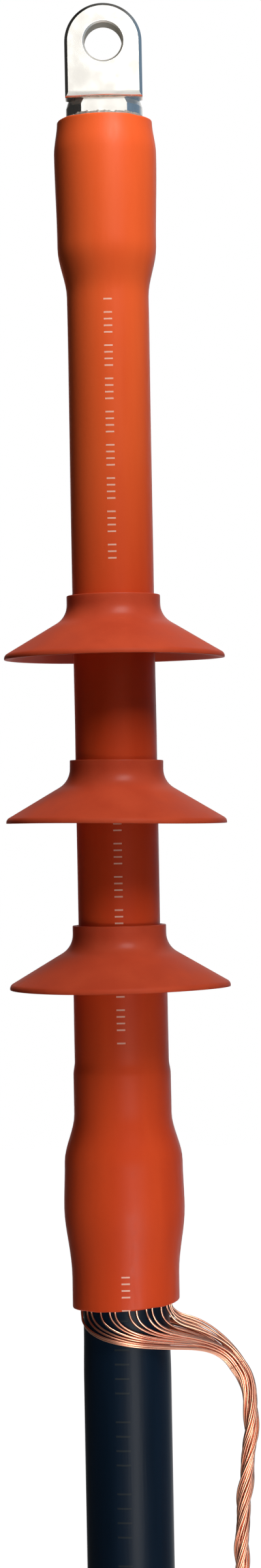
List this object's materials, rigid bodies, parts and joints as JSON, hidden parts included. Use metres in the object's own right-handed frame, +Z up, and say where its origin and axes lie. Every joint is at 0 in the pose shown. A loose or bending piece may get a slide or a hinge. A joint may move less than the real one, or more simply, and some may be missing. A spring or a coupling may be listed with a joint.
{
  "type": "cable termination",
  "caption": "Outdoor heat-shrink termination of a single-core power cable: bolted palm lug, orange tube with bell-shaped rain sheds, and copper screen wires gathered into an earth lead.",
  "frame": {"origin": "centre of the lug's fixing hole, half way through the palm", "axes": "+Z up the cable, -Y out of the palm's front face, +X to the side on which the earth lead hangs"},
  "size_m": [0.1113, 0.101, 0.7705],
  "materials": {
    "tinned_lug": "bright tinned",
    "bolt_metal": "turned, sheared face",
    "conductor_metal": "drawn",
    "black_screen": "matt",
    "pale_insulation": "smooth",
    "yellow_mastic": "soft mastic",
    "black_tube": "shrunk, matt",
    "dark_tape": "wound tape",
    "copper_wire": "drawn bare copper",
    "pale_tape": "wound tape",
    "black_sheath": "extruded, slight sheen",
    "grey_sealant": "sticky sealant",
    "dark_sealant": "sticky sealant",
    "orange_tube": "shrunk, semi-gloss",
    "shed_red": "moulded, matt",
    "red_sealant": "sticky sealant"
  },
  "bodies": {
    "root": {"terminal_lug": "tinned_lug", "shear_bolts": "bolt_metal", "conductor": "conductor_metal", "conductor_screen": "black_screen", "core_insulation": "pale_insulation", "insulation_screen": "black_screen", "stress_relief_mastic": "yellow_mastic", "stress_control_tube": "black_tube", "bedding_tape": "dark_tape", "screen_wires": "copper_wire", "separation_tape": "pale_tape", "cable_sheath": "black_sheath", "lug_sealant": "grey_sealant", "sheath_sealant": "dark_sealant", "insulating_tube": "orange_tube", "rain_shed_upper": "shed_red", "rain_shed_middle": "shed_red", "rain_shed_lower": "shed_red", "shed_sealant": "red_sealant", "earth_lead": "copper_wire", "earth_lug": "tinned_lug"}
  },
  "joints": []
}
